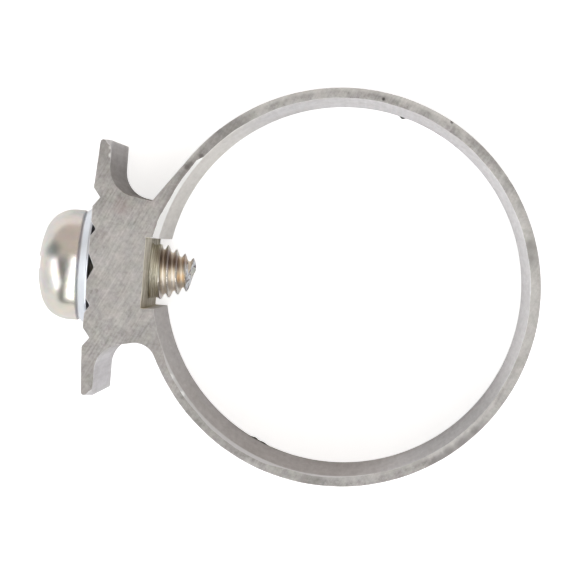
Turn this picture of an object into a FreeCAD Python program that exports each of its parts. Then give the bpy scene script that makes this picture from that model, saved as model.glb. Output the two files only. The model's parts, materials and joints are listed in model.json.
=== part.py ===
import FreeCAD, Part
import math
import os

# Ring clip that holds a road sign on a round post: a sawn length of aluminium extrusion (a closed thin ring
# with a solid head block and two hook flanges), a flat washer, and a pan head screw whose tapered tip clamps
# the post through the block.
# Millimetres. The ring axis is Z, the lower saw cut lies on Z = 0, and the sign face looks along -X.
# In the profile, "out" is the distance from the ring axis towards the sign, and "side" the distance from the
# screw's line, positive towards +Y.

# Ring
BORE_DIAMETER = 53.0         # slips over a post of 48 to 51 mm
RING_WALL = 1.5
CLIP_LENGTH = 25.0           # sawn length along the post

# Head block, measured from the bore wall
BLOCK_DEPTH = 9.25           # bore wall to sign face
WAIST_WIDTH = 20.2           # across the block's two sides, at the ring's outer radius
SIDE_DRAFT = 10.0            # degrees by which the block widens towards the sign
POST_GROOVE_WIDTH = 9.9      # flat-bottomed groove in the bore, which the screw comes through
POST_GROOVE_DEPTH = 1.3
POST_GROOVE_SHIFT = -0.2     # of its middle from the screw's line

# Where the ring runs into the block: it leaves the circle along a tangent, and meets the block in a fillet
UPPER_TANGENT = 36.0         # degrees from the screw's line
UPPER_ROOT_FILLET = 0.6
LOWER_TANGENT = 28.0
LOWER_ROOT_FILLET = 3.0

# Hook flanges
FLANGE_SPAN = 36.2           # tip to tip
FLANGE_TIP_THICKNESS = 1.65
FLANGE_LEAN = 3.8            # degrees by which the front leans back towards the tip
HOOK_FILLET = 4.0
TIP_FRONT_ROUND = 0.45
TIP_BACK_ROUND = 0.3

# Grooves along the sign face: a centre one that guides the drill, and two on each side
CENTRE_GROOVE_WIDTH = 4.0
CENTRE_GROOVE_DEPTH = 0.9
GRIP_GROOVE_OFFSET = 5.4     # from the screw's line
GRIP_GROOVE_WIDTH = 2.2
GRIP_GROOVE_DEPTH = 0.75
FLANGE_GROOVE_OFFSET = 9.9
FLANGE_GROOVE_WIDTH = 2.6
FLANGE_GROOVE_DEPTH = 1.0
LAND_ROUND = 0.25            # edges of the lands between the grooves

# Bevel filed by hand on the upper saw cut's inner edge, from the post groove up the ring
BEVEL_WIDTH = 0.7
BEVEL_DEPTH = 0.5
BEVEL_END = 38.5             # degrees from the screw's line

# Clamp screw, M8 with a pan head and a tapered thread end, not quite driven home
SCREW_DIAMETER = 8.0
SCREW_LENGTH = 16.4          # under the head, a stock 16 mm length
TIP_DIAMETER = 4.3
TAPER_LENGTH = 4.3
HEAD_DIAMETER = 16.0
HEAD_HEIGHT = 6.4
HEAD_CROWN_RADIUS = 16.0
HEAD_EDGE_RADIUS = 4.2
HEAD_SEAT_CHAMFER = 0.5
RECESS_SPAN = 8.9            # cross recess, at the crown
RECESS_FLOOR_SPAN = 4.2
RECESS_SLOT = 1.8
RECESS_FLOOR_SLOT = 1.3
RECESS_DEPTH = 4.2
THREAD_CLEARANCE = 0.05      # radial, screw in the block

# Flat washer, bevelled towards the screw's head
WASHER_DIAMETER = 17.5
WASHER_THICKNESS = 1.65
WASHER_BEVEL_WIDTH = 1.05
WASHER_BEVEL_DEPTH = 1.3
WASHER_CLEARANCE = 0.2       # radial, round the screw
WASHER_PLAY = 0.35           # between the washer and the sign face's lands

# How far the cutting tools run past the faces that they cut
OVERRUN = 1.0

bore_radius = BORE_DIAMETER / 2
ring_radius = bore_radius + RING_WALL
sign_face = bore_radius + BLOCK_DEPTH
groove_floor = bore_radius + POST_GROOVE_DEPTH
screw_radius = SCREW_DIAMETER / 2
washer_face = sign_face + WASHER_PLAY
head_seat = washer_face + WASHER_THICKNESS
mid_length = CLIP_LENGTH / 2


def in_profile(out, side):
    """A point of the extruded profile, on the lower saw cut."""
    return FreeCAD.Vector(-out, side, 0)


def on_screw(out, radius):
    """A point of the screw's or washer's half section, above the screw's line."""
    return FreeCAD.Vector(-out, 0, mid_length + radius)


def rounded_edges(corners):
    """Edges along a chain of (point, radius): straight runs, joined by a tangent arc at each corner.

    Where the rounds at both ends of a run don't fit on it, they shrink in proportion.
    """
    points = [point for point, _ in corners]
    half_angles = [
        (before - corner).getAngle(after - corner) / 2
        for before, corner, after in zip(points, points[1:], points[2:])
    ]
    # how far along its runs each corner's arc would reach; the chain's two ends have none
    wanted = [0, *(r / math.tan(a) for (_, r), a in zip(corners[1:], half_angles)), 0]
    edges = []
    start = points[0]
    for i, half_angle in enumerate(half_angles, start=1):
        corner = points[i]
        runs = [points[i - 1] - corner, points[i + 1] - corner]
        shares = [run.Length / (wanted[i] + other) if wanted[i] + other else 1
                  for run, other in zip(runs, (wanted[i - 1], wanted[i + 1]))]
        reach = wanted[i] * min(1, *shares)
        if not reach:
            edges.append(Part.LineSegment(start, corner).toShape())
            start = corner
            continue
        back, ahead = (run.normalize() for run in runs)
        fillet = reach * math.tan(half_angle)
        arc_start = corner + back * reach
        arc_end = corner + ahead * reach
        arc_middle = corner + (back + ahead).normalize() * (fillet / math.sin(half_angle) - fillet)
        edges.append(Part.LineSegment(start, arc_start).toShape())
        edges.append(Part.Arc(arc_start, arc_middle, arc_end).toShape())
        start = arc_end
    edges.append(Part.LineSegment(start, points[-1]).toShape())
    return edges


def groove(offset, width, depth):
    """The three corners of a V groove in the sign face, as (out, side, radius)."""
    return [
        (sign_face, offset - width / 2, LAND_ROUND),
        (sign_face - depth, offset, 0),
        (sign_face, offset + width / 2, LAND_ROUND),
    ]


def half_outline(tangent, root_fillet):
    """Corners (out, side, radius) of one half of the head, from the centre groove's edge to the ring."""
    tip = FLANGE_SPAN / 2
    flange_foot = FLANGE_GROOVE_OFFSET + FLANGE_GROOVE_WIDTH / 2
    tip_front = sign_face - (tip - flange_foot) * math.tan(math.radians(FLANGE_LEAN))
    flange_back = tip_front - FLANGE_TIP_THICKNESS
    draft = math.tan(math.radians(SIDE_DRAFT))
    hook_side = WAIST_WIDTH / 2 + (flange_back - ring_radius) * draft
    cosine = math.cos(math.radians(tangent))
    sine = math.sin(math.radians(tangent))
    # the root is where the tangent, out * cosine + side * sine = radius, crosses the block's drafted side
    root_side = (WAIST_WIDTH / 2 + ring_radius * draft * (1 / cosine - 1)) / (1 + draft * sine / cosine)
    root_out = (ring_radius - root_side * sine) / cosine
    return [
        (sign_face, CENTRE_GROOVE_WIDTH / 2, LAND_ROUND),
        *groove(GRIP_GROOVE_OFFSET, GRIP_GROOVE_WIDTH, GRIP_GROOVE_DEPTH),
        *groove(FLANGE_GROOVE_OFFSET, FLANGE_GROOVE_WIDTH, FLANGE_GROOVE_DEPTH),
        (tip_front, tip, TIP_FRONT_ROUND),
        (flange_back, tip, TIP_BACK_ROUND),
        (flange_back, hook_side, HOOK_FILLET),
        (root_out, root_side, root_fillet),
        (ring_radius * cosine, ring_radius * sine, 0),
    ]


def clip_outline():
    """The extrusion's outer outline: the head's chain of corners, closed by the ring's far arc."""
    upper = [(in_profile(out, side), r) for out, side, r in half_outline(UPPER_TANGENT, UPPER_ROOT_FILLET)]
    lower = [(in_profile(out, -side), r) for out, side, r in half_outline(LOWER_TANGENT, LOWER_ROOT_FILLET)]
    centre = [(in_profile(sign_face - CENTRE_GROOVE_DEPTH, 0), 0)]
    chain = lower[::-1] + centre + upper
    ring = Part.Arc(chain[-1][0], in_profile(-ring_radius, 0), chain[0][0])
    return Part.Wire(rounded_edges(chain) + [ring.toShape()])


def bore_outline():
    """The bore, with the flat-bottomed groove towards the screw."""
    upper_side = POST_GROOVE_SHIFT + POST_GROOVE_WIDTH / 2
    lower_side = POST_GROOVE_SHIFT - POST_GROOVE_WIDTH / 2
    upper_mouth, lower_mouth = (
        in_profile(math.sqrt(bore_radius**2 - side**2), side) for side in (upper_side, lower_side)
    )
    upper_floor = in_profile(groove_floor, upper_side)
    lower_floor = in_profile(groove_floor, lower_side)
    return Part.Wire([
        Part.Arc(lower_mouth, in_profile(-bore_radius, 0), upper_mouth).toShape(),
        Part.LineSegment(upper_mouth, upper_floor).toShape(),
        Part.LineSegment(upper_floor, lower_floor).toShape(),
        Part.LineSegment(lower_floor, lower_mouth).toShape(),
    ])


def filed_bevel():
    """Cutter for the filed bevel: a triangle swept round the ring axis from inside the post groove."""
    steepness = BEVEL_DEPTH / BEVEL_WIDTH
    inner = bore_radius - OVERRUN
    top = CLIP_LENGTH + OVERRUN
    corners = [
        FreeCAD.Vector(-inner, 0, top),
        FreeCAD.Vector(-inner, 0, CLIP_LENGTH - BEVEL_DEPTH - OVERRUN * steepness),
        FreeCAD.Vector(-(bore_radius + BEVEL_WIDTH + OVERRUN / steepness), 0, top),
    ]
    triangle = Part.Face(Part.makePolygon(corners + corners[:1]))
    # seen from above, the sweep from the screw's line towards +Y is clockwise
    return triangle.revolve(FreeCAD.Vector(0, 0, 0), FreeCAD.Vector(0, 0, -1), BEVEL_END)


def clip_extrusion():
    """The sawn extrusion, with the hole that the screw cuts its thread in and the filed bevel."""
    profile = Part.Face(clip_outline()).cut(Part.Face(bore_outline()))
    body = profile.extrude(FreeCAD.Vector(0, 0, CLIP_LENGTH))
    hole_start = on_screw(sign_face + OVERRUN, 0)
    hole_length = sign_face - groove_floor + 2 * OVERRUN
    hole = Part.makeCylinder(
        screw_radius + THREAD_CLEARANCE, hole_length, hole_start, FreeCAD.Vector(1, 0, 0)
    )
    return body.cut(hole).cut(filed_bevel())


def cross_recess(crown):
    """Cutter for the driver's cross recess: two tapered slots that cross on the screw's line."""
    def slot_end(out, span, slot, along_y):
        half_y, half_z = (span / 2, slot / 2) if along_y else (slot / 2, span / 2)
        corners = [
            FreeCAD.Vector(-out, y * half_y, mid_length + z * half_z)
            for y, z in ((-1, -1), (1, -1), (1, 1), (-1, 1), (-1, -1))
        ]
        return Part.makePolygon(corners)

    # the taper is carried on past the crown, so the slots open through the dome
    past = OVERRUN / RECESS_DEPTH
    mouth_span = RECESS_SPAN + past * (RECESS_SPAN - RECESS_FLOOR_SPAN)
    mouth_slot = RECESS_SLOT + past * (RECESS_SLOT - RECESS_FLOOR_SLOT)
    slots = [
        Part.makeLoft(
            [
                slot_end(crown - RECESS_DEPTH, RECESS_FLOOR_SPAN, RECESS_FLOOR_SLOT, along_y),
                slot_end(crown + OVERRUN, mouth_span, mouth_slot, along_y),
            ],
            True,
            True,
        )
        for along_y in (True, False)
    ]
    return slots[0].fuse(slots[1])


def clamp_screw():
    """The screw: its half section turned about its line, with the cross recess cut into the dome."""
    crown = head_seat + HEAD_HEIGHT
    head_radius = HEAD_DIAMETER / 2
    tip = head_seat - SCREW_LENGTH
    # the dome's edge arc touches the crown arc from inside, and ends along the head's side
    edge_radius = head_radius - HEAD_EDGE_RADIUS
    centres = HEAD_CROWN_RADIUS - HEAD_EDGE_RADIUS
    turn = math.asin(edge_radius / centres)
    crown_centre = crown - HEAD_CROWN_RADIUS
    edge_centre = crown_centre + centres * math.cos(turn)

    def on_crown(angle):
        return on_screw(
            crown_centre + HEAD_CROWN_RADIUS * math.cos(angle), HEAD_CROWN_RADIUS * math.sin(angle)
        )

    def on_edge(angle):
        return on_screw(
            edge_centre + HEAD_EDGE_RADIUS * math.cos(angle),
            edge_radius + HEAD_EDGE_RADIUS * math.sin(angle),
        )

    quarter = math.pi / 2
    below_dome = [
        (on_edge(quarter), 0),
        (on_screw(head_seat + HEAD_SEAT_CHAMFER, head_radius), 0),
        (on_screw(head_seat, head_radius - HEAD_SEAT_CHAMFER), 0),
        (on_screw(head_seat, screw_radius), 0),
        (on_screw(tip + TAPER_LENGTH, screw_radius), 0),
        (on_screw(tip, TIP_DIAMETER / 2), 0),
        (on_screw(tip, 0), 0),
        (on_screw(crown, 0), 0),
    ]
    section = Part.Wire(
        [
            Part.Arc(on_crown(0), on_crown(turn / 2), on_crown(turn)).toShape(),
            Part.Arc(on_edge(turn), on_edge((turn + quarter) / 2), on_edge(quarter)).toShape(),
        ]
        + rounded_edges(below_dome)
    )
    turned = Part.Face(section).revolve(on_screw(0, 0), FreeCAD.Vector(1, 0, 0), 360)
    return turned.cut(cross_recess(crown))


def flat_washer():
    """The washer under the head: its bevelled section turned about the screw's line."""
    hole = screw_radius + WASHER_CLEARANCE
    rim = WASHER_DIAMETER / 2
    corners = [
        on_screw(washer_face, hole),
        on_screw(washer_face, rim),
        on_screw(head_seat - WASHER_BEVEL_DEPTH, rim),
        on_screw(head_seat, rim - WASHER_BEVEL_WIDTH),
        on_screw(head_seat, hole),
    ]
    section = Part.Face(Part.makePolygon(corners + corners[:1]))
    return section.revolve(on_screw(0, 0), FreeCAD.Vector(1, 0, 0), 360)


os.makedirs("parts", exist_ok=True)
clip_extrusion().exportStep("parts/clip_extrusion.step")
clamp_screw().exportStep("parts/clamp_screw.step")
flat_washer().exportStep("parts/flat_washer.step")
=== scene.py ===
import json
import math

import bmesh
import bpy
import numpy as np
from mathutils import Matrix, Vector


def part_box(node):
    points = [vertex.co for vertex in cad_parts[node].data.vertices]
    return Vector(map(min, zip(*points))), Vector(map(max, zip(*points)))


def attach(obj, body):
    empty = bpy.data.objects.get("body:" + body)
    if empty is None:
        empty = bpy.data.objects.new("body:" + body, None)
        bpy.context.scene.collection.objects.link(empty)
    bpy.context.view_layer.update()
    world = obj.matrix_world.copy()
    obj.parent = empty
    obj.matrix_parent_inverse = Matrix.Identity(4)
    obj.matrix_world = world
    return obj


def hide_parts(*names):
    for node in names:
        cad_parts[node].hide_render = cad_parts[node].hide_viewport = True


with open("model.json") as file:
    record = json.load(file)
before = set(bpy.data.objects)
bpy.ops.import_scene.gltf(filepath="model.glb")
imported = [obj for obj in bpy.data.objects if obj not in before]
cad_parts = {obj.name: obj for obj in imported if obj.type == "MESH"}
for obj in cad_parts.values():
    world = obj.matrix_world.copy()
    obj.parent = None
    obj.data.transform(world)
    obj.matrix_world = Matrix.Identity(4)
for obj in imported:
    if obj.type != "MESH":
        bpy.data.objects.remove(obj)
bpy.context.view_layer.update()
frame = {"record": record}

# Clip: one sawn length of extruded aluminium. The thin ring goes round the post, the solid block takes the
# screw, and the grooved face and two hook flanges hold the sign. The walls keep the die's lines, the ends are
# saw-cut with small burrs, and the bore's upper edge is filed by hand on one side and worn on the other.
MM = 0.001                    # sizes are in millimetres, the scene is in metres
clip_low, clip_high = (np.array(corner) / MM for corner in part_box("clip_extrusion"))
mounts = {mount["name"]: mount for mount in frame["record"]["mounts"]}
bore_radius = mounts["post_ring"]["dims"]["r_mm"]
ring_radius = clip_high[0]
sign_face = -clip_low[0]
clip_length = clip_high[2]
screw_height = mounts["sign_face"]["pos_m"][2] / MM

WAIST_WIDTH = 20.2            # across the block's sides, at the ring's outer radius
SIDE_DRAFT = 10.0             # degrees
FLANGE_SPAN = 36.2
FLANGE_TIP_THICKNESS = 1.65
FLANGE_LEAN = 3.8             # degrees
FLANGE_GROOVE = (9.9, 2.6, 1.0)    # offset from the screw's line, width, depth
GRIP_GROOVE = (5.4, 2.2, 0.75)
CENTRE_GROOVE = (0.0, 4.0, 0.9)
UPPER_ROOT = (36.0, 0.6)      # degrees at which the ring leaves its circle, fillet
LOWER_ROOT = (28.0, 3.0)
HOOK_FILLET = 4.0
TIP_FRONT_ROUND = 0.45
TIP_BACK_ROUND = 0.3
LAND_ROUND = 0.25
POST_GROOVE = (9.9, 1.3, -0.2)     # width, depth, shift of its middle from the screw's line
SCREW_HOLE_RADIUS = 4.05
OUTLINE_STEP = 0.25           # between points along the outline
HEAD_ARC_STEP = 0.12          # between points on the head's rounds
MERGE_DISTANCE = 0.001        # points closer than this become one
BORE_MARGIN = 0.01            # points this close to the bore's circle lie on it
SAW_BURR = 0.07               # mean round on the saw-cut edges
BURR_WAVE = (0.5, 7.0)        # unevenness of that round: share, wavelength
FILED_EDGES = [               # the bore's edge, filed then worn: degrees from the screw's line, widths
    ((8, 14, 18, 21, 25, 32, 35, 36.8, 38.5), (0.95, 0.86, 0.73, 0.6, 0.5, 0.47, 0.42, 0.46, 0.15)),
    ((-108, -96, -91, -86, -80, -76, -70, -63, -57, -51, -45, -38, -33, -28, -24),
     (0.05, 0.12, 0.22, 0.25, 0.1, 0.2, 0.5, 0.46, 0.5, 0.46, 0.34, 0.4, 0.42, 0.3, 0.05)),
]
FILED_SLOPE = 0.55            # depth to width
FILED_WAVE = (0.1, 5.0, 7)    # unevenness of the width: share, wavelength, draw
END_BURRS = [                 # flakes on the bore's lower edge: x, y, how far they stand in, spread
    (6.79, 25.6, 0.3, 0.35),
    (-11.3, -23.97, 0.2, 0.5),
    (-10.1, -24.5, 0.14, 0.6),
]
TIP_WEAR = (0.5, 0.7, 1.2)    # worn off the flange tips at the upper end: depth, spread, height
CLIP_CREASE = 28              # degrees, above which an edge stays sharp
ROUND_ANGLES = np.linspace(0, 2 * np.pi, 128, endpoint=False)


def unit(vectors):
    """Vectors scaled to length 1 along the last axis."""
    return vectors / np.linalg.norm(vectors, axis=-1, keepdims=True)


def subdivided(points, step):
    """An open line of points with each run divided evenly into parts no longer than the step."""
    runs = np.linalg.norm(np.diff(points, axis=0), axis=1)
    counts = np.maximum(1, np.ceil(runs / step)).astype(int)
    run = np.repeat(np.arange(len(runs)), counts)
    place = np.arange(len(run)) - np.repeat(np.cumsum(counts) - counts, counts)
    share = (place / counts[run])[:, None]
    return np.vstack([points[run] * (1 - share) + points[run + 1] * share, points[-1:]])


def rounded_chain(corners, arc_step):
    """Points along corners (x, y, radius): straight runs joined by arcs that touch both runs.

    An arc's centre lies on the bisector at radius / sin(half the corner's angle), and its points are weighted
    sums of its two end spokes, with weights sin((1 - t) turn) and sin(t turn) over sin(turn).
    """
    corners = np.array(corners, float)
    points, radii = corners[:, :2], corners[:, 2]
    parts = [points[:1]]
    for before, corner, after, radius in zip(points, points[1:], points[2:], radii[1:]):
        back, ahead = unit(before - corner), unit(after - corner)
        half_angle = np.arccos(np.clip(back @ ahead, -1, 1)) / 2
        turn = np.pi - 2 * half_angle
        if radius == 0 or turn < 0.01:
            parts.append(corner[None])
            continue
        reach = radius / np.tan(half_angle)
        centre = corner + unit(back + ahead) * radius / np.sin(half_angle)
        t = np.linspace(0, 1, max(6, int(np.ceil(radius * turn / arc_step)) + 1))[:, None]
        first_spoke = corner + back * reach - centre
        last_spoke = corner + ahead * reach - centre
        spokes = np.sin((1 - t) * turn) * first_spoke + np.sin(t * turn) * last_spoke
        parts.append(centre + spokes / np.sin(turn))
    return np.vstack([*parts, points[-1:]])


def groove_corners(offset, width, depth):
    """The three corners of a V groove in the sign face, as (out, side, radius)."""
    return [
        (sign_face, offset - width / 2, LAND_ROUND),
        (sign_face - depth, offset, 0),
        (sign_face, offset + width / 2, LAND_ROUND),
    ]


def half_head(tangent, fillet):
    """Corners (out, side, radius) of half the head, from the centre groove to the ring's tangent point."""
    tip = FLANGE_SPAN / 2
    foot = FLANGE_GROOVE[0] + FLANGE_GROOVE[1] / 2
    tip_front = sign_face - (tip - foot) * math.tan(math.radians(FLANGE_LEAN))
    flange_back = tip_front - FLANGE_TIP_THICKNESS
    draft = math.tan(math.radians(SIDE_DRAFT))
    hook_side = WAIST_WIDTH / 2 + (flange_back - ring_radius) * draft
    cosine, sine = math.cos(math.radians(tangent)), math.sin(math.radians(tangent))
    root_side = (WAIST_WIDTH / 2 + ring_radius * draft * (1 / cosine - 1)) / (1 + draft * sine / cosine)
    root_out = (ring_radius - root_side * sine) / cosine
    return [
        (sign_face, CENTRE_GROOVE[1] / 2, LAND_ROUND),
        *groove_corners(*GRIP_GROOVE),
        *groove_corners(*FLANGE_GROOVE),
        (tip_front, tip, TIP_FRONT_ROUND),
        (flange_back, tip, TIP_BACK_ROUND),
        (flange_back, hook_side, HOOK_FILLET),
        (root_out, root_side, fillet),
        (ring_radius * cosine, ring_radius * sine, 0),
    ]


def circle_arc(radius, start, end, step):
    """Points on a circle about the origin from one angle to another, in radians, about the step apart."""
    angles = np.linspace(start, end, int(abs(end - start) * radius / step) + 2)
    return radius * np.stack([np.cos(angles), np.sin(angles)], axis=1)


def clip_loops():
    """The outer outline and the bore's, each closed, as (x, y) points that keep the metal on their left."""
    flip = np.array([-1, 1, 1])
    upper = np.array(half_head(*UPPER_ROOT)) * flip
    lower = np.array(half_head(*LOWER_ROOT)) * flip * np.array([1, -1, 1])
    centre = np.array([[CENTRE_GROOVE[2] - sign_face, 0, 0]])
    head = rounded_chain(np.vstack([upper[::-1], centre, lower]), HEAD_ARC_STEP)
    ring_end = math.radians(180 - UPPER_ROOT[0])
    ring = circle_arc(ring_radius, math.radians(LOWER_ROOT[0] - 180), ring_end, OUTLINE_STEP)
    outer = np.vstack([subdivided(head, OUTLINE_STEP)[:-1], ring[:-1]])
    width, depth, shift = POST_GROOVE
    sides = shift + width / 2, shift - width / 2
    mouths = [math.pi - math.asin(side / bore_radius) for side in sides]
    bore = circle_arc(bore_radius, mouths[0], mouths[1] - 2 * math.pi, OUTLINE_STEP)
    floor = -bore_radius - depth
    groove = np.array([bore[-1], (floor, sides[1]), (floor, sides[0]), bore[0]])
    inner = np.vstack([bore[:-1], subdivided(groove, OUTLINE_STEP)[:-1]])
    return outer, inner


def ripple(along, wavelength, seed):
    """Smooth unevenness from -1 to 1 along a line.

    It is three sines of falling length with drawn phases and heights of 1, 1/2 and 1/3, over about their sum.
    """
    phases = np.random.default_rng(seed).uniform(0, 2 * np.pi, 3)
    waves = [np.sin(2 * np.pi * along * k / wavelength + p) for k, p in zip((1.0, 2.3, 5.1), phases)]
    return sum(w / (i + 1) for i, w in enumerate(waves)) / 1.84


def end_rows(height, inward, width, depth, is_flat=False):
    """Insets and heights from the wall up to an end face, each a grid of four rows by the loop's points.

    A round is inset by width (1 - cos a) and lies depth (1 - sin a) short of the end as a turns from 0 to 90
    degrees. A flat is inset by width t and lies depth (1 - t) short.
    """
    t = np.array([0, 1 / 3, 2 / 3, 1])[:, None]
    turn = t * np.pi / 2
    inset = np.where(is_flat, width * t, width * (1 - np.cos(turn)))
    short = np.where(is_flat, depth * (1 - t), depth * (1 - np.sin(turn)))
    return inset, height + inward * short


def filed_width(angle):
    """The width of the filed flat at each angle, 0 between the filed stretches."""
    return sum(np.interp(angle, angles, widths, left=0, right=0) for angles, widths in FILED_EDGES)


def wall_grid(loop, normal, insets, heights):
    """A closed loop carried up through levels: each point moves off its place by the level's inset, against
    the wall's normal."""
    flat = loop[None] - normal[None] * insets[..., None]
    return np.dstack([flat, heights[..., None]])


def grid_faces(rows, columns, start=0):
    """Quads over a grid of rows by columns, closed round its columns."""
    i, j = np.meshgrid(np.arange(rows - 1), np.arange(columns), indexing="ij")
    k = (j + 1) % columns
    row, above = i * columns, (i + 1) * columns
    return np.stack([row + j, row + k, above + k, above + j], axis=-1).reshape(-1, 4) + start


def new_piece(name, points, faces, materials):
    """A mesh object at the origin from points in millimetres, with its materials in their slots."""
    mesh = bpy.data.meshes.new(name)
    mesh.from_pydata(points * MM, [], faces.tolist())
    for material in materials:
        mesh.materials.append(material)
    piece = bpy.data.objects.new(name, mesh)
    bpy.context.scene.collection.objects.link(piece)
    return piece


def turned(name, section, angles, materials=()):
    """A closed solid turned about the screw's line from a section of (out, radius) points.

    A point at angle a, measured from +Y towards +Z, lies at (-out, radius cos a, height + radius sin a). Out
    and radius may also be arrays that change with the angle. A section that starts and ends on the line
    closes there in poles, and any other closes on itself as a ring.
    """
    spread = [[np.broadcast_to(value, angles.shape) for value in values] for values in zip(*section)]
    out, radius = (np.stack(rows) for rows in spread)
    points = np.dstack([-out, radius * np.cos(angles), screw_height + radius * np.sin(angles)])
    is_ring = radius[0].any()
    rows = len(section)
    if is_ring:
        points = np.vstack([points, points[:1]])
        rows += 1
    piece = new_piece(name, points.reshape(-1, 3), grid_faces(rows, len(angles)), materials)
    shape = bmesh.new()
    shape.from_mesh(piece.data)
    bmesh.ops.remove_doubles(shape, verts=shape.verts, dist=MERGE_DISTANCE * MM)
    bmesh.ops.recalc_face_normals(shape, faces=shape.faces)
    shape.to_mesh(piece.data)
    shape.free()
    piece.data.polygons.foreach_set("use_smooth", np.ones(len(piece.data.polygons), bool))
    return piece


def clip_mesh(materials):
    """The two walls as grids, the end faces filled between them, and the screw's hole cut through the block.

    Every end edge has the burr's uneven round, and where the bore's upper edge is filed or worn the round is
    a flat of the width there. Flakes lean in from the bore's lower edge, and the flange tips' back corners
    are worn towards the upper end, both by a bell curve of the distance from their places.
    """
    grids = []
    wear_depth, wear_spread, wear_height = TIP_WEAR
    filed_share, filed_wavelength, filed_draw = FILED_WAVE
    for number, loop in enumerate(clip_loops()):
        is_bore = number == 1
        along = np.cumsum(np.linalg.norm(loop - np.roll(loop, 1, axis=0), axis=1))
        forward = unit(np.roll(loop, -1, axis=0) - np.roll(loop, 1, axis=0))
        normal = np.stack([forward[:, 1], -forward[:, 0]], axis=1)
        burr = SAW_BURR * (1 + BURR_WAVE[0] * ripple(along, BURR_WAVE[1], number))
        low = end_rows(0, 1, burr, burr)
        top = end_rows(clip_length, -1, burr, burr)
        if is_bore:
            beyond = np.hypot(*loop.T) - bore_radius
            on_bore = beyond < BORE_MARGIN
            normal = np.where(on_bore[:, None], -unit(loop), normal)
            width = filed_width(np.degrees(np.arctan2(loop[:, 1], -loop[:, 0])))
            width *= 1 + filed_share * ripple(along, filed_wavelength, filed_draw)
            filed = end_rows(clip_length, -1, width, FILED_SLOPE * width, True)
            top = [np.where(on_bore & (width > burr), flat, plain) for flat, plain in zip(filed, top)]
            # the file runs out over the post groove's corner, and takes its wall's top down
            cut = np.where(on_bore, 0, np.maximum(FILED_SLOPE * (width - beyond), 0))
            top[1] = top[1] - cut
        # two rows between the ends, so that the tips' wear has room to fade
        between = np.array([[0.0], [0.5]]) * np.ones(len(loop))
        middle = between * 0, clip_length - wear_height * (1 - between)
        insets, heights = (np.vstack([first[::-1], *rest]) for first, *rest in zip(low, middle, top))
        grid = wall_grid(loop, normal, insets, heights)
        if is_bore:
            for x, y, depth, spread in END_BURRS:
                near = np.exp(-np.sum(((loop - (x, y)) / spread) ** 2, axis=1))
                grid[:3, :, :2] -= (depth * near)[:, None] * unit(loop)
        else:
            back_corners = [corner for corner in half_head(*UPPER_ROOT) if corner[1] == FLANGE_SPAN / 2]
            out, side, _ = back_corners[-1]
            rise = np.clip((grid[..., 2] - clip_length + wear_height) / wear_height, 0, 1)
            for hand in (1, -1):
                near = np.exp(-np.sum(((loop - (-out, hand * side)) / wear_spread) ** 2, axis=1))
                worn = wear_depth * rise**2 * near
                grid[..., 0] -= worn
                grid[..., 1] -= hand * worn
        grids.append(grid)
    points = np.vstack([grid.reshape(-1, 3) for grid in grids])
    start = grids[0].shape[0] * grids[0].shape[1]
    faces = np.vstack([grid_faces(*grids[0].shape[:2]), grid_faces(*grids[1].shape[:2], start)])
    clip = new_piece("clip", points, faces, materials)
    fill = bmesh.new()
    fill.from_mesh(clip.data)
    rims = [edge for edge in fill.edges if edge.is_boundary]
    for end, normal in ((0, (0, 0, -1)), (clip_length, (0, 0, 1))):
        rim = [edge for edge in rims if abs(edge.verts[0].co.z / MM - end) < clip_length / 2]
        bmesh.ops.triangle_fill(fill, use_beauty=True, edges=rim, normal=normal)
    bmesh.ops.recalc_face_normals(fill, faces=fill.faces)
    fill.to_mesh(clip.data)
    fill.free()
    # half a step round, so that no corner of the drill meets the centre groove's line
    half_step = math.pi / len(ROUND_ANGLES)
    drill_section = [
        (sign_face + 1, 0),
        (sign_face + 1, SCREW_HOLE_RADIUS),
        (bore_radius, SCREW_HOLE_RADIUS),
        (bore_radius, 0),
    ]
    drill = turned("drill", drill_section, ROUND_ANGLES + half_step)
    hole = clip.modifiers.new("screw_hole", "BOOLEAN")
    hole.object = drill
    hole.solver = "EXACT"
    drilled = clip.evaluated_get(bpy.context.evaluated_depsgraph_get())
    clip.data = bpy.data.meshes.new_from_object(drilled)
    clip.modifiers.clear()
    bpy.data.objects.remove(drill)
    return clip


def linear(hex_colour):
    """An sRGB hex colour as linear RGBA."""
    srgb = np.array([int(hex_colour[i:i + 2], 16) for i in (0, 2, 4)]) / 255
    rgb = np.where(srgb <= 0.04045, srgb / 12.92, ((srgb + 0.055) / 1.055) ** 2.4)
    return (*rgb.tolist(), 1.0)


def add_node(tree, kind, sockets=None, **settings):
    """Adds a node with its settings; each socket takes a value, or a link from another node's output."""
    node = tree.nodes.new("ShaderNode" + kind)
    for name, value in settings.items():
        setattr(node, name, value)
    for name, value in (sockets or {}).items():
        if isinstance(value, bpy.types.NodeSocket):
            tree.links.new(value, node.inputs[name])
        else:
            node.inputs[name].default_value = value
    return node


def new_material(name, metallic):
    """A node material with one metallic shader, its tree and Object coordinates."""
    material = bpy.data.materials.new(name)
    material.use_nodes = True
    tree = material.node_tree
    shader = tree.nodes["Principled BSDF"]
    shader.inputs["Metallic"].default_value = metallic
    return material, tree, shader, add_node(tree, "TexCoord").outputs["Object"]


MARK_CORE = 0.3               # share of a mark's radius that has its full strength


def add_marks(tree, place, colour, marks):
    """Lays soft round marks over a colour, each (place in millimetres, radius, hex colour, strength)."""
    for centre, radius, mark_colour, strength in marks:
        away = add_node(tree, "VectorMath", {0: place, 1: Vector(centre) * MM}, operation="DISTANCE")
        cover = add_node(tree, "MapRange", {
            "Value": away.outputs["Value"], "From Min": MARK_CORE * radius * MM, "From Max": radius * MM,
            "To Min": strength, "To Max": 0,
        }, interpolation_type="SMOOTHSTEP")
        mixed = add_node(tree, "Mix", {
            0: cover.outputs[0], 6: colour, 7: linear(mark_colour),
        }, data_type="RGBA")
        colour = mixed.outputs[2]
    return colour


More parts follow.
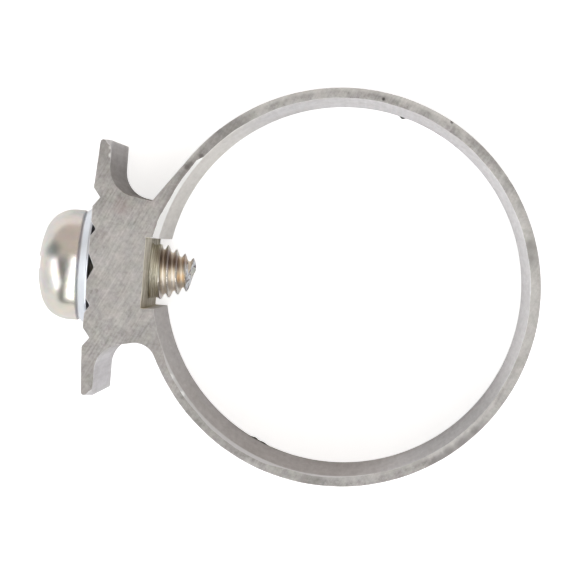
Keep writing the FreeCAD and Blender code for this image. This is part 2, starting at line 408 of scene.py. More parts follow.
def add_arcs(tree, place, colour, arcs):
    """Lays soft arcs about the ring's axis over a colour.

    Each is (middle, full reach and faded reach to either side in degrees, full and faded radius, hex colour,
    strength).
    """
    flat = add_node(tree, "VectorMath", {0: place, 1: (1, 1, 0)}, operation="MULTIPLY").outputs[0]
    radius = add_node(tree, "VectorMath", {0: flat}, operation="LENGTH").outputs["Value"]
    heading = add_node(tree, "VectorMath", {0: flat}, operation="NORMALIZE").outputs[0]
    for middle, reach, faded_reach, full_radius, faded_radius, arc_colour, strength in arcs:
        middle = math.radians(middle)
        towards = add_node(tree, "VectorMath", {
            0: heading, 1: (math.cos(middle), math.sin(middle), 0),
        }, operation="DOT_PRODUCT")
        along = add_node(tree, "MapRange", {
            "Value": towards.outputs["Value"], "From Min": math.cos(math.radians(faded_reach)),
            "From Max": math.cos(math.radians(reach)), "To Min": 0, "To Max": strength,
        }, interpolation_type="SMOOTHSTEP")
        cover = add_node(tree, "MapRange", {
            "Value": radius, "From Min": faded_radius * MM, "From Max": full_radius * MM,
            "To Min": 0, "To Max": along.outputs[0],
        }, interpolation_type="SMOOTHSTEP")
        mixed = add_node(tree, "Mix", {
            0: cover.outputs[0], 6: colour, 7: linear(arc_colour),
        }, data_type="RGBA")
        colour = mixed.outputs[2]
    return colour


SAW_STROKE = (3.2, 0.26, 63)  # length, width, degrees; drawn coarser than real strokes, so that they show
SAW_ARCS = [
    # middle, full and faded reach, full and faded radius, colour, strength
    # the burr's painted shadow, a dark line outside the filed edge
    (153, 10, 20, bore_radius + 0.85, bore_radius + 1.3, "746e6a", 0.42),
    # painted highlights on the rims: the ring's outer edge at the top, its inner edge below
    (91, 28, 42, ring_radius - 0.2, ring_radius - 0.75, "e2e0dd", 0.42),
    (-66, 27, 38, bore_radius + 0.25, bore_radius + 0.75, "dcdad8", 0.28),
    # scuffs: a long one on the outer edge below, a short one on the inner edge
    (-49, 7, 12, ring_radius - 0.4, ring_radius - 1.15, "625e5d", 0.7),
    (14, 2, 5.5, bore_radius + 0.3, bore_radius + 0.95, "6f6b68", 0.4),
]
SAW_MARKS = [
    # place, radius, colour, strength: broad tones first, then scuffs, nicks and bright specks
    ((-30.5, 0.0, 25), 9.0, "d8d4d0", 0.16),
    ((19.0, -19.5, 25), 8.0, "cfcdcb", 0.35),
    ((27.0, 2.0, 25), 22.0, "d2d1ce", 0.4),
    ((-33.5, 17.0, 25), 6.0, "8d8986", 0.4),
    ((-34.5, -16.0, 25), 4.5, "979491", 0.3),
    ((-17.5, 20.7, 25), 5.0, "7c7977", 0.45),
    ((-31.7, 8.9, 25), 1.8, "b39c9a", 0.25),
    ((0.0, -27.0, 25), 19.0, "8f8c8a", 0.15),
    ((-17.5, -21.5, 25), 9.0, "8f8c88", 0.3),
    ((-27.0, -12.0, 25), 6.0, "908c89", 0.3),
    ((-1.9, -27.3, 25), 2.4, "77736f", 0.35),
    ((26.3, 7.2, 25), 2.6, "8d8a86", 0.4),
    ((25.9, 8.02, 25), 0.9, "76726e", 0.2),
    ((26.3, 6.2, 25), 0.7, "6f6b68", 0.2),
    ((20.2, -18.4, 25), 0.8, "625e5d", 0.3),
    ((18.6, -20.3, 25), 1.3, "625e5d", 0.25),
    ((16.9, -21.6, 25), 1.0, "625e5d", 0.3),
    ((-22.87, 15.1, 25), 0.65, "4a4340", 0.6),
    ((-22.4, 15.6, 25), 0.5, "4a4340", 0.4),
    ((-21.0, 16.8, 25), 0.5, "4a4340", 0.6),
    ((3.84, 26.75, 25), 0.36, "3e3a38", 0.9),
    ((13.64, 24.31, 25), 0.35, "4a4744", 0.8),
    ((-35.0, -3.4, 25), 0.4, "7a746f", 0.4),
    ((-34.2, -3.2, 25), 0.4, "7a746f", 0.4),
    ((-33.7, 15.9, 25), 0.5, "f0eeec", 0.7),
    ((-33.8, 17.0, 25), 0.4, "f0eeec", 0.5),
]


def saw_cut_aluminium():
    """Saw-cut aluminium: the blade leaves fine slanting strokes, grain and soft mottling. The thin ring has
    darker blotches, painted highlights on its rims and scuffs, and the burr's painted shadow runs as a dark
    line beside the filed edge."""
    material, tree, shader, place = new_material("saw_cut_aluminium", 0.6)
    length, width, slant = SAW_STROKE
    strokes = add_node(tree, "Mapping", {
        "Vector": place, "Rotation": (0, 0, math.radians(slant)),
        "Scale": (length * MM, width * MM, length * MM),
    }, vector_type="TEXTURE")
    stroke = add_node(tree, "TexNoise", {"Vector": strokes.outputs[0], "Scale": 1, "Detail": 2})
    grain = add_node(tree, "TexNoise", {"Vector": place, "Scale": 1 / (0.4 * MM), "Detail": 2})
    mottle = add_node(tree, "TexNoise", {"Vector": place, "Scale": 1 / (1.7 * MM), "Detail": 3})
    blotch = add_node(tree, "TexNoise", {
        "Vector": place, "Scale": 1 / (2.4 * MM), "Detail": 6, "Roughness": 0.78,
    })
    rough = add_node(tree, "Math", {0: grain.outputs["Fac"], 1: stroke.outputs["Fac"]}, operation="ADD")
    summed = add_node(tree, "Math", {
        0: mottle.outputs["Fac"], 1: 0.6, 2: rough.outputs[0],
    }, operation="MULTIPLY_ADD")
    light = add_node(tree, "MapRange", {
        "Value": summed.outputs[0], "From Min": 0.87, "From Max": 1.73, "To Min": 0, "To Max": 1,
    })
    metal = add_node(tree, "Mix", {
        0: light.outputs[0], 6: linear("938f8c"), 7: linear("c6c3c0"),
    }, data_type="RGBA")
    tinted = add_node(tree, "Mix", {
        0: 0.025, 6: metal.outputs[2], 7: mottle.outputs["Color"],
    }, data_type="RGBA", blend_type="LINEAR_LIGHT")
    axes = add_node(tree, "SeparateXYZ", {0: place})
    on_ring = add_node(tree, "MapRange", {
        "Value": axes.outputs["X"], "From Min": -25 * MM, "From Max": -20 * MM,
        "To Min": 0.12, "To Max": 0.38,
    })
    dark = add_node(tree, "MapRange", {
        "Value": blotch.outputs["Fac"], "From Min": 0.38, "From Max": 0.62, "To Min": 0, "To Max": 1,
    }, interpolation_type="SMOOTHSTEP")
    patches = add_node(tree, "Mix", {
        0: dark.outputs[0], 6: linear("cbcac7"), 7: linear("777573"),
    }, data_type="RGBA")
    blotched = add_node(tree, "Mix", {
        0: on_ring.outputs[0], 6: tinted.outputs[2], 7: patches.outputs[2],
    }, data_type="RGBA")
    edged = add_arcs(tree, place, blotched.outputs[2], SAW_ARCS)
    marked = add_marks(tree, place, edged, SAW_MARKS)
    relief = add_node(tree, "Bump", {
        "Height": rough.outputs[0], "Strength": 0.35, "Distance": 0.015 * MM,
    })
    tree.links.new(marked, shader.inputs["Base Color"])
    tree.links.new(relief.outputs[0], shader.inputs["Normal"])
    shader.inputs["Roughness"].default_value = 0.65
    return material


DIE_LINE = (0.4, 60)          # width, length; drawn coarser than the die's real lines, so that they show
WALL_MOTTLE = (0.8, 6)
STAIN_BAND = (9, 4.5)         # across the groove, along it
STAINED_WIDTH = 1.2 * POST_GROOVE[0]
# the bore's painted light and shade, broad tones which run the whole length of the wall
BORE_LIGHT_AND_SHADE = [
    ((27.0, 5.0, 0), 26.0, "ececee", 0.65),
    ((-22.95, 13.25, 0), 17.0, "fffcf5", 0.75),
    ((-6.0, 25.8, 0), 14.0, "ffffff", 0.18),
    ((19.0, -18.5, 0), 12.0, "a3a3a4", 0.54),
    ((-5.0, -26.0, 0), 19.0, "9a8f88", 0.64),
    ((-25.5, -11.0, 0), 16.0, "a89e93", 0.32),
    ((-18.5, -19.0, 0), 9.0, "968c84", 0.3),
]
# dark rims along the lower end, in a coordinate with its heights stretched
RIM_STRETCH = 5
RIM_TONES = [((-12.0, -23.5, 0), 16.0, "6a5f57", 0.4)]
# painted shade, darkest at the lower end of the upper hook
HOOK_RIM_SHADE = [((-30.0, 12.5, 0), 7.0, "3a322c", 0.55)]
# painted shade in the upper hook, brownish painted shade in the post groove's lower corner, and grey painted
# shade in the lower hook
OUTER_SHADE = [
    ((-28.8, 12.5, 0), 7.5, "5c524a", 0.9),
    ((-27.8, -5.1, 0), 2.0, "8a744e", 0.35),
    ((-31.0, -11.2, 0), 3.2, "a09b97", 0.75),
]
FLAKE_MARKS = [((x, y, 0), 2.2 * spread, "1e1c1b", 0.95) for x, y, _, spread in END_BURRS]


def mill_finish_aluminium():
    """Mill-finish aluminium: softly bright, with the die's lines and a faint mottle along the extrusion. The
    post groove is stained olive brown in bands, painted shade darkens the grooves under the washer, and
    painted light and shade take the bore from pale on its +Y side to grey brown on its -Y side, with dark
    flakes at its lower edge."""
    material, tree, shader, place = new_material("mill_finish_aluminium", 0.12)
    width, length = DIE_LINE
    lines = add_node(tree, "Mapping", {
        "Vector": place, "Scale": (width * MM, width * MM, length * MM),
    }, vector_type="TEXTURE")
    line = add_node(tree, "TexNoise", {"Vector": lines.outputs[0], "Scale": 1, "Detail": 2})
    cloud = add_node(tree, "TexNoise", {"Vector": place, "Scale": 1 / (9 * MM), "Detail": 3})
    tone = add_node(tree, "Mix", {
        0: line.outputs["Fac"], 6: linear("cfcdce"), 7: linear("e5e3e6"),
    }, data_type="RGBA")
    cloud_tone = add_node(tree, "MapRange", {
        "Value": cloud.outputs["Fac"], "From Min": 0.45, "From Max": 0.8, "To Min": 0, "To Max": 0.5,
    })
    clouded = add_node(tree, "Mix", {
        0: cloud_tone.outputs[0], 6: tone.outputs[2], 7: linear("bbb6b1"),
    }, data_type="RGBA")
    axes = add_node(tree, "SeparateXYZ", {0: place})
    width, length = STAIN_BAND
    bands = add_node(tree, "Mapping", {
        "Vector": place, "Scale": (width * MM, width * MM, length * MM),
    }, vector_type="TEXTURE")
    band = add_node(tree, "TexNoise", {"Vector": bands.outputs[0], "Scale": 1, "Detail": 3, "Roughness": 0.7})
    streak = add_node(tree, "MapRange", {
        "Value": band.outputs["Fac"], "From Min": 0.36, "From Max": 0.62, "To Min": 0, "To Max": 1,
    })
    stain = add_node(tree, "Mix", {
        0: streak.outputs[0], 6: linear("9a9174"), 7: linear("efead9"),
    }, data_type="RGBA")
    in_block = add_node(tree, "MapRange", {
        "Value": axes.outputs["X"], "From Min": -(bore_radius + 0.9) * MM,
        "From Max": -(bore_radius + 0.3) * MM, "To Min": 0.9, "To Max": 0,
    })
    aside = add_node(tree, "Math", {0: axes.outputs["Y"]}, operation="ABSOLUTE")
    in_groove = add_node(tree, "Math", {
        0: aside.outputs[0], 1: STAINED_WIDTH / 2 * MM,
    }, operation="LESS_THAN")
    before_face = add_node(tree, "Math", {
        0: axes.outputs["X"], 1: -(bore_radius + 2) * MM,
    }, operation="GREATER_THAN")
    groove_part = add_node(tree, "Math", {
        0: in_groove.outputs[0], 1: before_face.outputs[0],
    }, operation="MULTIPLY")
    stained_part = add_node(tree, "Math", {
        0: in_block.outputs[0], 1: groove_part.outputs[0],
    }, operation="MULTIPLY")
    stained = add_node(tree, "Mix", {
        0: stained_part.outputs[0], 6: clouded.outputs[2], 7: stain.outputs[2],
    }, data_type="RGBA")
    # painted shade in the sign face's grooves under the washer
    off_washer = add_node(tree, "VectorMath", {
        0: place, 1: (-sign_face * MM, 0, screw_height * MM),
    }, operation="DISTANCE")
    shaded = add_node(tree, "MapRange", {
        "Value": off_washer.outputs["Value"], "From Min": 9 * MM, "From Max": 14 * MM,
        "To Min": 0.75, "To Max": 0,
    })
    groove_shade = add_node(tree, "MapRange", {
        "Value": axes.outputs["X"], "From Min": -(sign_face - 0.05) * MM,
        "From Max": -(sign_face - 0.35) * MM, "To Min": 0, "To Max": shaded.outputs[0],
    })
    on_face = add_node(tree, "Math", {
        0: axes.outputs["X"], 1: -(sign_face - 1.1) * MM,
    }, operation="LESS_THAN")
    groove_shade_part = add_node(tree, "Math", {
        0: groove_shade.outputs[0], 1: on_face.outputs[0],
    }, operation="MULTIPLY")
    groove_shaded = add_node(tree, "Mix", {
        0: groove_shade_part.outputs[0], 6: stained.outputs[2], 7: linear("24211f"),
    }, data_type="RGBA")
    # the bore's painted light and shade inside, the painted shade in the hooks and the groove corner outside
    flat = add_node(tree, "VectorMath", {0: place, 1: (1, 1, 0)}, operation="MULTIPLY")
    radius = add_node(tree, "VectorMath", {0: flat.outputs[0]}, operation="LENGTH")
    outside = add_node(tree, "Math", {
        0: radius.outputs["Value"], 1: (bore_radius + 0.7) * MM,
    }, operation="GREATER_THAN")
    bore_lit_and_shaded = add_marks(tree, flat.outputs[0], groove_shaded.outputs[2], BORE_LIGHT_AND_SHADE)
    tall = add_node(tree, "VectorMath", {0: place, 1: (1, 1, RIM_STRETCH)}, operation="MULTIPLY")
    rimmed = add_marks(tree, tall.outputs[0], bore_lit_and_shaded, RIM_TONES)
    hooks_shaded = add_marks(tree, flat.outputs[0], groove_shaded.outputs[2], OUTER_SHADE)
    marked = add_node(tree, "Mix", {
        0: outside.outputs[0], 6: add_marks(tree, place, rimmed, FLAKE_MARKS),
        7: add_marks(tree, tall.outputs[0], hooks_shaded, HOOK_RIM_SHADE),
    }, data_type="RGBA")
    width, length = WALL_MOTTLE
    drawn = add_node(tree, "Mapping", {
        "Vector": place, "Scale": (width * MM, width * MM, length * MM),
    }, vector_type="TEXTURE")
    grain = add_node(tree, "TexNoise", {
        "Vector": drawn.outputs[0], "Scale": 1, "Detail": 3, "Roughness": 0.6,
    })
    mottled = add_node(tree, "Mix", {
        0: 0.17, 6: marked.outputs[2], 7: grain.outputs["Fac"],
    }, data_type="RGBA", blend_type="LINEAR_LIGHT")
    relief = add_node(tree, "Bump", {
        "Height": line.outputs["Fac"], "Strength": 0.3, "Distance": 0.01 * MM,
    })
    tree.links.new(mottled.outputs[2], shader.inputs["Base Color"])
    tree.links.new(relief.outputs[0], shader.inputs["Normal"])
    shader.inputs["Roughness"].default_value = 0.5
    return material


FILE_STROKE = (6, 0.3, 70)    # length, width, degrees
FILED_WEAR_AND_GLINTS = [
    # the filed stretch whitened further as a painted highlight, the dulled worn one, and two painted glints
    # on it
    ((-24.1, 11.0, 25), 14.0, "ffffff", 0.7),
    ((-12.0, -23.5, 25), 30.0, "c0bebf", 0.85),
    ((-22.83, -14.46, 25), 0.6, "ffffff", 0.8),
    ((-21.05, -16.73, 25), 0.6, "ffffff", 0.8),
]


def filed_aluminium():
    """Filed aluminium: white and clean beside the saw cut, the white partly a painted highlight, with the
    file's fine strokes, and dulled where the edge is only worn."""
    material, tree, shader, place = new_material("filed_aluminium", 0.05)
    length, width, slant = FILE_STROKE
    strokes = add_node(tree, "Mapping", {
        "Vector": place, "Rotation": (0, 0, math.radians(slant)),
        "Scale": (length * MM, width * MM, length * MM),
    }, vector_type="TEXTURE")
    stroke = add_node(tree, "TexNoise", {"Vector": strokes.outputs[0], "Scale": 1, "Detail": 2})
    # a near-white tone, partly a painted highlight on the filed flat
    tone = add_node(tree, "Mix", {
        0: stroke.outputs["Fac"], 6: linear("f4f3f2"), 7: linear("fefefe"),
    }, data_type="RGBA")
    worn = add_node(tree, "TexNoise", {"Vector": place, "Scale": 1 / (5 * MM), "Detail": 3})
    wear = add_node(tree, "MapRange", {
        "Value": worn.outputs["Fac"], "From Min": 0.48, "From Max": 0.6, "To Min": 0, "To Max": 0.5,
    })
    dulled = add_node(tree, "Mix", {
        0: wear.outputs[0], 6: tone.outputs[2], 7: linear("c4c0bd"),
    }, data_type="RGBA")
    marked = add_marks(tree, place, dulled.outputs[2], FILED_WEAR_AND_GLINTS)
    tree.links.new(marked, shader.inputs["Base Color"])
    shader.inputs["Roughness"].default_value = 0.4
    return material


def face_vectors(mesh, kind):
    """Every face's normal or center, as rows of three."""
    values = np.zeros(len(mesh.polygons) * 3, np.float32)
    mesh.polygons.foreach_get(kind, values)
    return values.reshape(-1, 3)


clip = clip_mesh([mill_finish_aluminium(), saw_cut_aluminium(), filed_aluminium()])
# the level faces are saw-cut, and the sloping ones beside the bore's upper edge are filed
LEVEL, SLOPING = 0.999, 0.3   # least upward part of their normals
upward = face_vectors(clip.data, "normal")[:, 2]
x, y, z = face_vectors(clip.data, "center").T / MM
is_end = np.abs(upward) > LEVEL
flat_width = filed_width(np.degrees(np.arctan2(y, -x)))
beside_bore = np.hypot(x, y) < bore_radius + flat_width
is_filed = ~is_end & (upward > SLOPING) & (flat_width > SAW_BURR) & beside_bore & (z > clip_length / 2)
clip.data.polygons.foreach_set("material_index", (is_end + 2 * is_filed).astype(np.int32))
clip.data.polygons.foreach_set("use_smooth", ~is_end)
clip.data.set_sharp_from_angle(angle=math.radians(CLIP_CREASE))
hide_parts("clip_extrusion")
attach(clip, "clip")

# Washer: a stamped flat steel washer with a bevelled rim, bright zinc plated with a bluish passivation. It
# hangs loose on the screw between the head and the sign face, and travels with the screw.
washer_low, washer_high = (np.array(corner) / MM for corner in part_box("flat_washer"))
WASHER_HOLE_RADIUS = 4.2
WASHER_BEVEL = (1.05, 1.3)    # width, depth
WASHER_ROUND = 0.15
WASHER_ARC_STEP = 0.08
TURNED_CREASE = 40            # degrees, above which a turned piece's edge stays sharp
washer_face, head_seat = -washer_high[0], -washer_low[0]
washer_rim = (washer_high[1] - washer_low[1]) / 2


def washer_section():
    """The washer's section with its bevel towards the head and rounded corners, walked from its sign side."""
    middle = (WASHER_HOLE_RADIUS + washer_rim) / 2
    width, depth = WASHER_BEVEL
    corners = [
        (washer_face, middle, 0),
        (washer_face, washer_rim, WASHER_ROUND),
        (head_seat - depth, washer_rim, WASHER_ROUND),
        (head_seat, washer_rim - width, WASHER_ROUND),
        (head_seat, WASHER_HOLE_RADIUS, WASHER_ROUND),
        (washer_face, WASHER_HOLE_RADIUS, WASHER_ROUND),
        (washer_face, middle, 0),
    ]
    return rounded_chain(corners, WASHER_ARC_STEP)[:-1]


def blue_zinc():
    """Bright zinc plating with a clear blue passivation: pale, cool and glossy, with a slight cloud."""
    material, tree, shader, place = new_material("blue_passivated_zinc", 1.0)
    cloud = add_node(tree, "TexNoise", {"Vector": place, "Scale": 1 / (2 * MM), "Detail": 3})
    tone = add_node(tree, "Mix", {
        0: cloud.outputs["Fac"], 6: linear("d0d7e1"), 7: linear("edf1f7"),
    }, data_type="RGBA")
    tree.links.new(tone.outputs[2], shader.inputs["Base Color"])
    shader.inputs["Roughness"].default_value = 0.28
    return material


washer = turned("washer", washer_section(), ROUND_ANGLES, [blue_zinc()])
washer.data.set_sharp_from_angle(angle=math.radians(TURNED_CREASE))
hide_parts("flat_washer")
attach(washer, "washer")

# Screw: an M8 pan head steel screw, zinc plated with a faint straw tint. The head is cold formed with a cross
# recess, and the thread is rolled, right-handed, and tapers to an end that was sheared off on the slant.
screw_low, screw_high = (np.array(corner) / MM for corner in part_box("clamp_screw"))
head_crown, screw_tip = -screw_low[0], -screw_high[0]
head_radius = (screw_high[1] - screw_low[1]) / 2
CROWN_RADIUS = 16.0
EDGE_RADIUS = 4.2
SEAT_ROUND = 0.2
RECESS_MOUTH = (4.45, 0.9)    # half span and half width of the cross
RECESS_FLOOR = (2.1, 0.65)
RECESS_DEPTH = 4.2
RECESS_DISH = 0.3             # how far the floor's middle lies below its rim
RECESS_LIP = 0.12
THREAD_RADIUS = 4.0
THREAD_PITCH = 1.25
THREAD_DEPTH = 0.77
THREAD_CREST = 1 / 8          # share of the pitch
THREAD_FLANK = 5 / 16
THREAD_START = 0.3            # under the head
THREAD_STEP = 0.07            # between rows along the thread
TAPER_LENGTH = 4.3
TIP_RADIUS = 2.15
TIP_SLANT = (1.2, 150)        # height of the slant, degrees to its shortest side
TIP_CORE = 0.6                # share of the tip's radius that only the sheared end lies within
SHEARED_FACING = 0.9          # least part of its faces' normals along +X
THREAD_PHASE = -0.29          # turns
PACKED = (26.2, 26.5)         # swarf packs the thread in the post groove: where that ends, where it is full
PACKED_SHARE = 0.8            # of the thread's depth
PACKED_SINK = 0.03            # below the crests
PACKED_RING = (0.3, 0.04)     # spacing, height


def cross_radius(angle, half_span, half_width):
    """How far a cross of two rectangles reaches in a direction: the larger of their two reaches."""
    c, s = np.abs(np.cos(angle)) + 1e-9, np.abs(np.sin(angle)) + 1e-9
    return np.maximum(np.minimum(half_span / c, half_width / s), np.minimum(half_width / c, half_span / s))


def cross_corners(half_span, half_width):
    """The directions of a cross outline's corners round the full turn, and of its arms' middles."""
    arm = math.atan2(half_width, half_span)
    return np.add.outer(np.arange(4) * np.pi / 2, (0, arm, np.pi / 4, np.pi / 2 - arm)).ravel()


def head_section(angles):
    """The head's section at every angle, from the recess's floor over the dome to the seat.

    The recess's mouth and floor are crosses with matching corners, the walls run straight between them, and
    the dome is an arc of the crown's radius that runs on into the edge's smaller arc.
    """
    crown_centre = head_crown - CROWN_RADIUS
    edge_ring = head_radius - EDGE_RADIUS
    centres = CROWN_RADIUS - EDGE_RADIUS
    turn = math.asin(edge_ring / centres)
    edge_centre = crown_centre + centres * math.cos(turn)
    mouth = cross_radius(angles, *RECESS_MOUTH)
    corners = cross_corners(*RECESS_MOUTH), cross_corners(*RECESS_FLOOR)
    floor_angles = np.interp(angles, *corners, period=2 * np.pi)
    bottom = cross_radius(floor_angles, *RECESS_FLOOR)
    depth = head_crown - RECESS_DEPTH
    dome_start = CROWN_RADIUS * math.sin(turn)

    def dome(radius):
        return crown_centre + np.sqrt(CROWN_RADIUS**2 - radius**2)

    section = [(depth - RECESS_DISH, 0.0), (depth - RECESS_DISH / 2, bottom * 0.5), (depth, bottom)]
    lip = dome(mouth) - RECESS_LIP
    lip_radius = mouth - RECESS_LIP / 3
    section += [(depth + (lip - depth) * t, bottom + (lip_radius - bottom) * t) for t in (0.5, 1.0)]
    for t in np.linspace(0, 1, 7):
        radius = mouth + RECESS_LIP / 2 + (dome_start - mouth - RECESS_LIP / 2) * t
        section.append((dome(radius), radius))
    for a in np.linspace(turn, np.pi / 2, 15)[1:]:
        section.append((edge_centre + EDGE_RADIUS * math.cos(a), edge_ring + EDGE_RADIUS * math.sin(a)))
    for a in np.radians([0, 30, 60, 90]):
        inset = SEAT_ROUND * (1 - math.cos(a))
        section.append((head_seat + SEAT_ROUND * (1 - math.sin(a)), head_radius - inset))
    return section


def thread_envelope(out):
    """The crest's radius along the screw: full, with a straight taper at the tip."""
    return np.interp(out - screw_tip, (0, TAPER_LENGTH), (TIP_RADIUS, THREAD_RADIUS))


def thread_section(angles):
    """The thread's rows from under the head to the tip, and the places of the slanted end.

    The radius is the taper's envelope less the thread depth times a trapezoid wave of the place along the
    screw in pitches, less the angle in turns, so the crests wind forward as the angle grows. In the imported
    part the wave is shallow and fine rings lie over it.
    """
    length = head_seat - screw_tip
    along = np.arange(THREAD_START, length, THREAD_STEP)
    ring_spacing, ring_height = PACKED_RING
    slant, shortest = TIP_SLANT
    end = length - slant * (1 + np.cos(angles - math.radians(shortest))) / 2
    rows = []
    for place in along / along[-1]:
        x = place * (end - THREAD_START) + THREAD_START
        turns = x / THREAD_PITCH - angles / (2 * np.pi) + THREAD_PHASE
        hollow = np.clip((np.abs(turns % 1 - 0.5) - THREAD_CREST / 2) / THREAD_FLANK, 0, 1)
        packed = np.interp(head_seat - x, PACKED, (0, 1))
        ring = ring_height * np.cos(2 * np.pi * x / ring_spacing)
        depth = THREAD_DEPTH * hollow * (1 - PACKED_SHARE * packed) + packed * (PACKED_SINK + ring)
        rows.append((head_seat - x, thread_envelope(head_seat - x) - depth))
    return rows, head_seat - end


HEAD_MARKS = [
    # rose and straw clouds and one dark mark
    ((-38.9, 4.7, 19.0), 5.0, "f6e6dc", 0.5),
    ((-39.9, -6.0, 17.6), 3.5, "f2e8d6", 0.35),
    ((-41.1, 1.8, 18.9), 1.9, "74807f", 0.85),
]
THREAD_TINTS_AND_HIGHLIGHT = [
    # a painted highlight on the lower side, brown and golden hollows
    ((-24.5, -1.8, 15.6), 2.8, "fffaf2", 0.8),
    ((-25.6, 2.3, 15.4), 2.4, "6e4f3e", 0.6),
    ((-23.8, 1.7, 15.2), 1.6, "7a5a44", 0.5),
    ((-22.9, 2.2, 14.2), 1.3, "c09a6c", 0.4),
    ((-22.9, -0.8, 15.0), 1.2, "ecca98", 0.5),
]


def straw_zinc():
    """Zinc plating with a faint straw passivation: softly glossy, clouded with tan, rose and grey-green. The
    thread's hollows are duller and golden brown, and pale olive where swarf packs them."""
    material, tree, shader, place = new_material("straw_passivated_zinc", 1.0)
    cloud = add_node(tree, "TexNoise", {
        "Vector": place, "Scale": 1 / (3 * MM), "Detail": 4, "Roughness": 0.6,
    })
    fine = add_node(tree, "TexNoise", {"Vector": place, "Scale": 1 / (0.9 * MM), "Detail": 3})
    tone = add_node(tree, "Mix", {
        0: cloud.outputs["Fac"], 6: linear("babab5"), 7: linear("e4dfda"),
    }, data_type="RGBA")
    tinted = add_node(tree, "Mix", {
        0: 0.1, 6: tone.outputs[2], 7: cloud.outputs["Color"],
    }, data_type="RGBA", blend_type="LINEAR_LIGHT")
    speckled = add_node(tree, "Mix", {
        0: 0.07, 6: tinted.outputs[2], 7: fine.outputs["Color"],
    }, data_type="RGBA", blend_type="LINEAR_LIGHT")
    hollow = add_node(tree, "Attribute", attribute_name="thread_hollow")
    brown = add_node(tree, "Mix", {
        0: fine.outputs["Fac"], 6: linear("ead9c0"), 7: linear("fdf8f0"),
    }, data_type="RGBA")
    threaded = add_node(tree, "Mix", {
        0: hollow.outputs["Fac"], 6: speckled.outputs[2], 7: brown.outputs[2],
    }, data_type="RGBA")
    packed = add_node(tree, "Attribute", attribute_name="packed")
    filled = add_node(tree, "Mix", {
        0: packed.outputs["Fac"], 6: threaded.outputs[2], 7: linear("e6e2d2"),
    }, data_type="RGBA")
    marked = add_marks(tree, place, filled.outputs[2], HEAD_MARKS + THREAD_TINTS_AND_HIGHLIGHT)
    relief = add_node(tree, "Bump", {
        "Height": fine.outputs["Fac"], "Strength": 0.25, "Distance": 0.06 * MM,
    })
    tree.links.new(marked, shader.inputs["Base Color"])
    tree.links.new(relief.outputs[0], shader.inputs["Normal"])
    dulled = add_node(tree, "Math", {
        0: hollow.outputs["Fac"], 1: packed.outputs["Fac"],
    }, operation="MAXIMUM")
    roughness = add_node(tree, "MapRange", {"Value": dulled.outputs[0], "To Min": 0.25, "To Max": 0.5})
    tree.links.new(roughness.outputs[0], shader.inputs["Roughness"])
    return material


def sheared_steel():
    """Sheared steel at the screw's end: torn, so pale and dark patches lie side by side."""
    material, tree, shader, place = new_material("sheared_steel", 0.7)
    torn = add_node(tree, "TexNoise", {
        "Vector": place, "Scale": 1 / (0.7 * MM), "Detail": 3, "Roughness": 0.6,
    })
    contrast = add_node(tree, "MapRange", {
        "Value": torn.outputs["Fac"], "From Min": 0.4, "From Max": 0.55, "To Min": 0, "To Max": 1,
    })
    tone = add_node(tree, "Mix", {
        0: contrast.outputs[0], 6: linear("7d7476"), 7: linear("eef1f6"),
    }, data_type="RGBA")
    relief = add_node(tree, "Bump", {
        "Height": torn.outputs["Fac"], "Strength": 0.8, "Distance": 0.15 * MM,
    })
    tree.links.new(tone.outputs[2], shader.inputs["Base Color"])
    tree.links.new(relief.outputs[0], shader.inputs["Normal"])
    shader.inputs["Roughness"].default_value = 0.45
    return material


screw_angles = np.unique(np.concatenate([ROUND_ANGLES, cross_corners(*RECESS_MOUTH)]).round(6))
head_rows = head_section(screw_angles)
thread_rows, tip_end = thread_section(screw_angles)
tip_rows = [(tip_end, thread_rows[-1][1] * 0.5), (tip_end.mean(), 0.0)]
screw = turned("screw", head_rows + thread_rows + tip_rows, screw_angles, [straw_zinc(), sheared_steel()])
screw.data.set_sharp_from_angle(angle=math.radians(TURNED_CREASE))
# how deep each point of the thread lies below its crests, and whether swarf packs it there
screw_points = np.zeros(len(screw.data.vertices) * 3, np.float32)
screw.data.vertices.foreach_get("co", screw_points)
x, y, z = screw_points.reshape(-1, 3).T / MM
off_line = np.hypot(y, z - screw_height)
on_thread = (-x < head_seat - THREAD_START / 2) & (off_line > TIP_RADIUS * TIP_CORE)
hollow = (thread_envelope(-x) - off_line) / THREAD_DEPTH * on_thread
packed = np.interp(-x, PACKED, (0, 1)) * on_thread
for name, values in (("thread_hollow", hollow), ("packed", packed)):
    attribute = screw.data.attributes.new(name, "FLOAT", "POINT")
    attribute.data.foreach_set("value", np.clip(values, 0, 1).astype(np.float32))
inward = face_vectors(screw.data, "normal")[:, 0]
face_out = -face_vectors(screw.data, "center")[:, 0] / MM
is_sheared = (inward > SHEARED_FACING) & (face_out < screw_tip + TIP_SLANT[0])
screw.data.polygons.foreach_set("material_index", is_sheared.astype(np.int32))
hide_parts("clamp_screw")
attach(screw, "screw")

# Floor: a plain white table under the clip. To the camera and in reflections it is lifted to white, and it
# keeps the clip's own shadow.
FLOOR_SIZE = 4.0              # metres
FLOOR_DROP = 0.02 * MM
SEEN_LIFT, REFLECTED_LIFT = 0.6, 0.1
floor_mesh = bpy.data.meshes.new("floor")
corner = FLOOR_SIZE / 2
floor_corners = (-corner, -corner), (corner, -corner), (corner, corner), (-corner, corner)
floor_mesh.from_pydata([(x, y, -FLOOR_DROP) for x, y in floor_corners], [], [(0, 1, 2, 3)])
floor = bpy.data.objects.new("floor", floor_mesh)
bpy.context.scene.collection.objects.link(floor)
paper = bpy.data.materials.new("white_paper")
paper.use_nodes = True
paper_tree = paper.node_tree
paper_shader = paper_tree.nodes["Principled BSDF"]
paper_shader.inputs["Base Color"].default_value = linear("f2f2f2")
paper_shader.inputs["Roughness"].default_value = 0.9
ray = add_node(paper_tree, "LightPath")
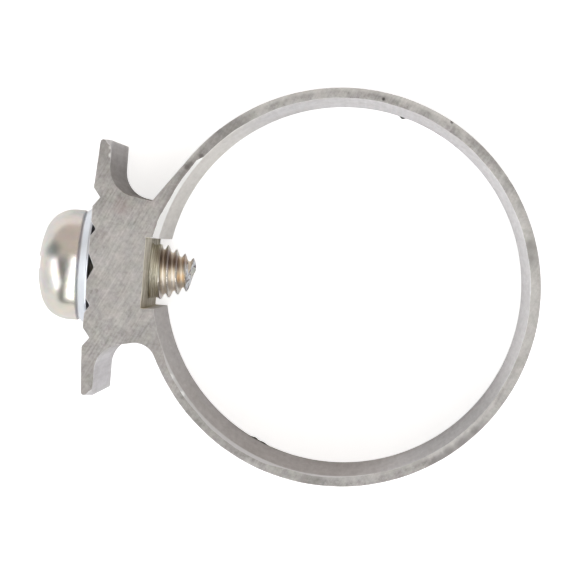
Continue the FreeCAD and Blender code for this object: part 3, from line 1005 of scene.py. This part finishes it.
reflected = add_node(paper_tree, "Math", {
    0: ray.outputs["Is Glossy Ray"], 1: REFLECTED_LIFT,
}, operation="MULTIPLY")
lift = add_node(paper_tree, "Math", {
    0: ray.outputs["Is Camera Ray"], 1: SEEN_LIFT, 2: reflected.outputs[0],
}, operation="MULTIPLY_ADD")
paper_tree.links.new(lift.outputs[0], paper_shader.inputs["Emission Strength"])
paper_shader.inputs["Emission Color"].default_value = linear("ffffff")
floor_mesh.materials.append(paper)

# Studio light: a room that is dim on the -Y side and pale and warm on the +Y side, with a white wall beyond
# the screw head, a long soft box overhead that stands towards -Y, and a smaller one beside the head.
DIM_SIDE = (0.2, 0.2, 0.2, 1)
WARM_SIDE = (0.6, 0.565, 0.525, 1)
WHITE_WALL = (1.15, 1.13, 1.1, 1)
WALL_MIDDLE = (-0.94, -0.34, 0.0)    # direction
world = bpy.data.worlds.new("studio")
bpy.context.scene.world = world
world.use_nodes = True
world_tree = world.node_tree
outward = add_node(world_tree, "TexCoord").outputs["Generated"]
direction = add_node(world_tree, "SeparateXYZ", {0: outward})
towards_bright = add_node(world_tree, "MapRange", {
    "Value": direction.outputs["Y"], "From Min": -0.02, "From Max": 0.4, "To Min": 0, "To Max": 1,
}, interpolation_type="SMOOTHSTEP")
room = add_node(world_tree, "Mix", {
    0: towards_bright.outputs[0], 6: DIM_SIDE, 7: WARM_SIDE,
}, data_type="RGBA")
towards_wall = add_node(world_tree, "VectorMath", {0: outward, 1: WALL_MIDDLE}, operation="DOT_PRODUCT")
wall_part = add_node(world_tree, "MapRange", {
    "Value": towards_wall.outputs["Value"], "From Min": 0.62, "From Max": 0.88, "To Min": 0, "To Max": 1,
}, interpolation_type="SMOOTHSTEP")
walled = add_node(world_tree, "Mix", {
    0: wall_part.outputs[0], 6: room.outputs[2], 7: WHITE_WALL,
}, data_type="RGBA")
world_tree.links.new(walled.outputs[2], world_tree.nodes["Background"].inputs["Color"])
SOFT_BOXES = {
    # name: place, point it faces, width and height in metres, radiance
    "overhead": ((0.11, -0.45, 0.74), (0.16, 0, 0), (0.42, 1.8), 2.9),
    "beside_head": ((-0.70, -0.30, 0.55), (0, 0, 0), (0.95, 0.5), 1.4),
}
for name, (at, target, (width, height), radiance) in SOFT_BOXES.items():
    lamp = bpy.data.lights.new(name, "AREA")
    lamp.shape = "RECTANGLE"
    lamp.size, lamp.size_y = width, height
    lamp.energy = radiance * math.pi * width * height
    box = bpy.data.objects.new(name, lamp)
    box.location = at
    box.rotation_euler = (Vector(target) - Vector(at)).to_track_quat("-Z", "Y").to_euler()
    bpy.context.scene.collection.objects.link(box)

# Camera: a long lens almost straight above the ring, turned a little so that the sign face leans. Its place
# and turn are fitted to the ring's near and far edges in the photograph.
IMAGE_PX = 575
FOCAL_PX = 2711
SENSOR = 36.0
CAMERA_PLACE = (5.36, 6.07, 404.97)
CAMERA_TURN = (-0.93, 1.97, 4.61)    # rotation vector, degrees
camera_data = bpy.data.cameras.new("camera")
camera_data.sensor_width = SENSOR
camera_data.lens = SENSOR * FOCAL_PX / IMAGE_PX
camera = bpy.data.objects.new("camera", camera_data)
turn = Vector(CAMERA_TURN)
camera.matrix_world = (Matrix.Translation(Vector(CAMERA_PLACE) * MM)
                       @ Matrix.Rotation(math.radians(turn.length), 4, turn.normalized()))
bpy.context.scene.collection.objects.link(camera)
bpy.context.scene.camera = camera
bpy.context.scene.view_settings.view_transform = "Standard"
